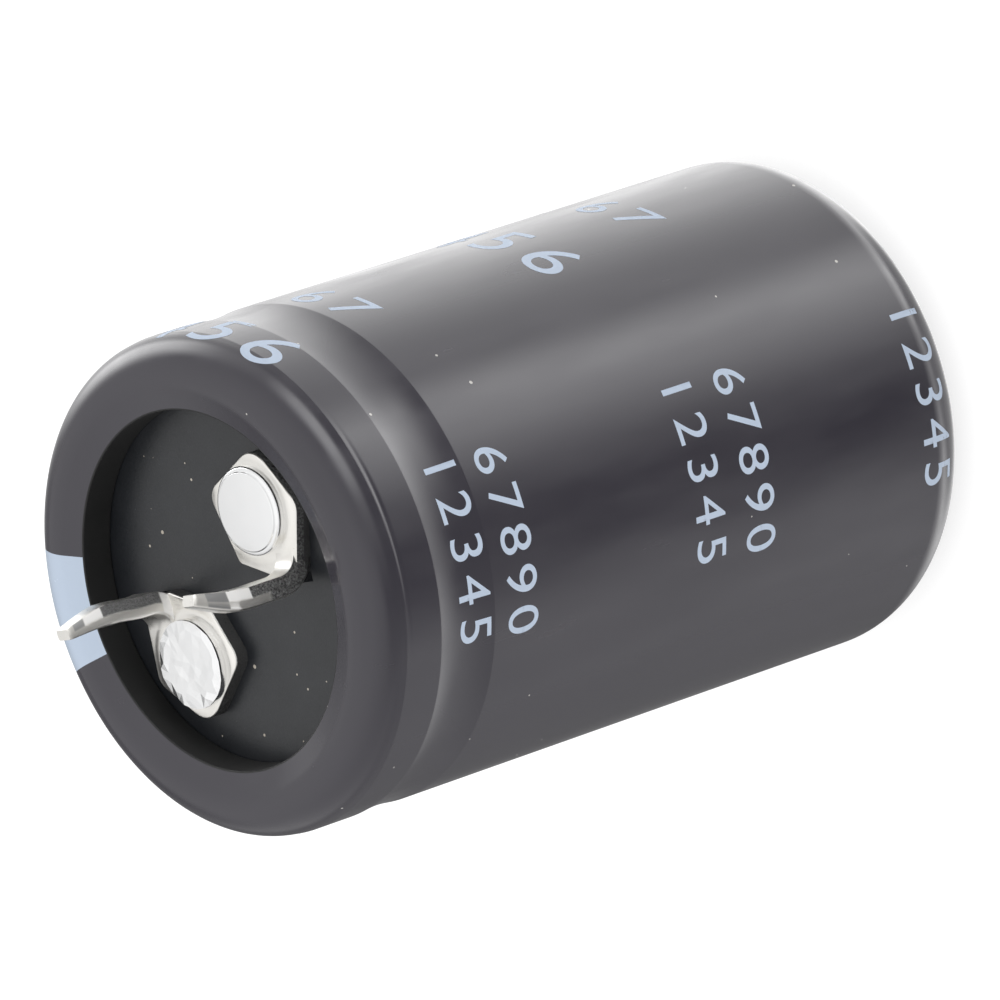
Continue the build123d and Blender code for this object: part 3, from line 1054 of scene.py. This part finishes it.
# Elevations in degrees between which one light gives way to the next
LOWER_TO_HORIZON = (-40, -30)
HORIZON_TO_LEVEL = (-18, -8)
LEVEL_TO_SKY = (8, 25)
SKY_TO_TOP = (25, 60)
NEAR_BEGINS = (-44, -56)
NEAR_ENDS = (-57, -68)


# Glow round the upright as one of the lists gives it
def glow_ramp(tree, around, levels):
    ramp = add_node(tree, "ShaderNodeValToRGB", {0: around})
    stops = ramp.color_ramp.elements
    ramp.color_ramp.interpolation = "LINEAR"
    while len(stops) < len(levels):
        stops.new(0.5)
    top = max(level for _, level in levels)
    for stop, (angle, level) in zip(stops, levels):
        stop.position = (angle + 180) / 360
        stop.color = (level / top, level / top, level / top, 1)
    return maths(tree, "MULTIPLY", ramp.outputs[0], top)


def make_world():
    world = bpy.data.worlds.new("world")
    bpy.context.scene.world = world
    world.use_nodes = True
    tree = world.node_tree
    way = add_node(tree, "ShaderNodeTexCoord").outputs["Generated"]
    parts = add_node(tree, "ShaderNodeSeparateXYZ", {0: way})
    bearing = maths(tree, "ARCTAN2", parts.outputs["Y"], parts.outputs["X"])
    around = slide(tree, bearing, -pi, pi)
    rise = maths(tree, "ARCSINE", parts.outputs["Z"])

    def past(span):
        return slide(tree, rise, *(radians(end) for end in span))

    lower, horizon, level, near = (
        glow_ramp(tree, around, levels)
        for levels in (LOWER_GLOW, HORIZON_GLOW, LEVEL_GLOW, NEAR_GLOW)
    )
    high = blended(tree, past(SKY_TO_TOP), SKY_GLOW, TOP_GLOW)
    glow = blended(tree, past(LOWER_TO_HORIZON), lower, horizon)
    glow = blended(tree, past(HORIZON_TO_LEVEL), glow, level)
    glow = blended(tree, past(LEVEL_TO_SKY), glow, high)
    near = maths(tree, "MULTIPLY", past(NEAR_BEGINS), near)
    underneath = past(NEAR_ENDS)
    near = maths(tree, "MULTIPLY", maths(tree, "SUBTRACT", 1.0, underneath), near)
    glow = maths(tree, "ADD", blended(tree, underneath, glow, UNDER_GLOW), near)
    rays = add_node(tree, "ShaderNodeLightPath")
    strength = blended(tree, rays.outputs["Is Glossy Ray"], 1.0, glow)
    background = tree.nodes["Background"]
    background.inputs["Color"].default_value = (1, 1, 1, 1)
    tree.links.new(strength, background.inputs["Strength"])


# Floor, in metres; it lies a hair under the film. Half of what a camera sees of it is plain white,
# and the other half takes the shadow
FLOOR_HALF = 1
FLOOR_Z = -0.00002
FLOOR_TONE = 0.9
FLOOR_WHITE = 1.5
WHITE_SHARE = 0.5


# Pale floor that keeps the shadow; gloss looks through it to the room's light
def make_floor():
    mesh = bpy.data.meshes.new("floor")
    sides = [(-1, -1), (1, -1), (1, 1), (-1, 1)]
    corners = [(x * FLOOR_HALF, y * FLOOR_HALF, FLOOR_Z) for x, y in sides]
    mesh.from_pydata(corners, [], [(0, 1, 2, 3)])
    floor = new_object("floor", mesh)
    made, tree, shader = material("floor")
    shader.inputs["Base Color"].default_value = (FLOOR_TONE, FLOOR_TONE, FLOOR_TONE, 1)
    shader.inputs["Roughness"].default_value = 1.0
    shader.inputs["Specular IOR Level"].default_value = 0.0
    rays = add_node(tree, "ShaderNodeLightPath")
    white = add_node(tree, "ShaderNodeEmission", {"Strength": FLOOR_WHITE})
    clear = add_node(tree, "ShaderNodeBsdfTransparent")

    def mix_shaders(share, first, second):
        inputs = {0: share, 1: first.outputs[0], 2: second.outputs[0]}
        return add_node(tree, "ShaderNodeMixShader", inputs)

    seen = mix_shaders(WHITE_SHARE, shader, white)
    direct = mix_shaders(rays.outputs["Is Camera Ray"], shader, seen)
    all_rays = mix_shaders(rays.outputs["Is Glossy Ray"], direct, clear)
    output = tree.nodes["Material Output"]
    tree.links.new(all_rays.outputs[0], output.inputs["Surface"])
    floor.data.materials.append(made)


make_camera()
make_world()
make_floor()
bpy.context.scene.view_settings.view_transform = "Standard"
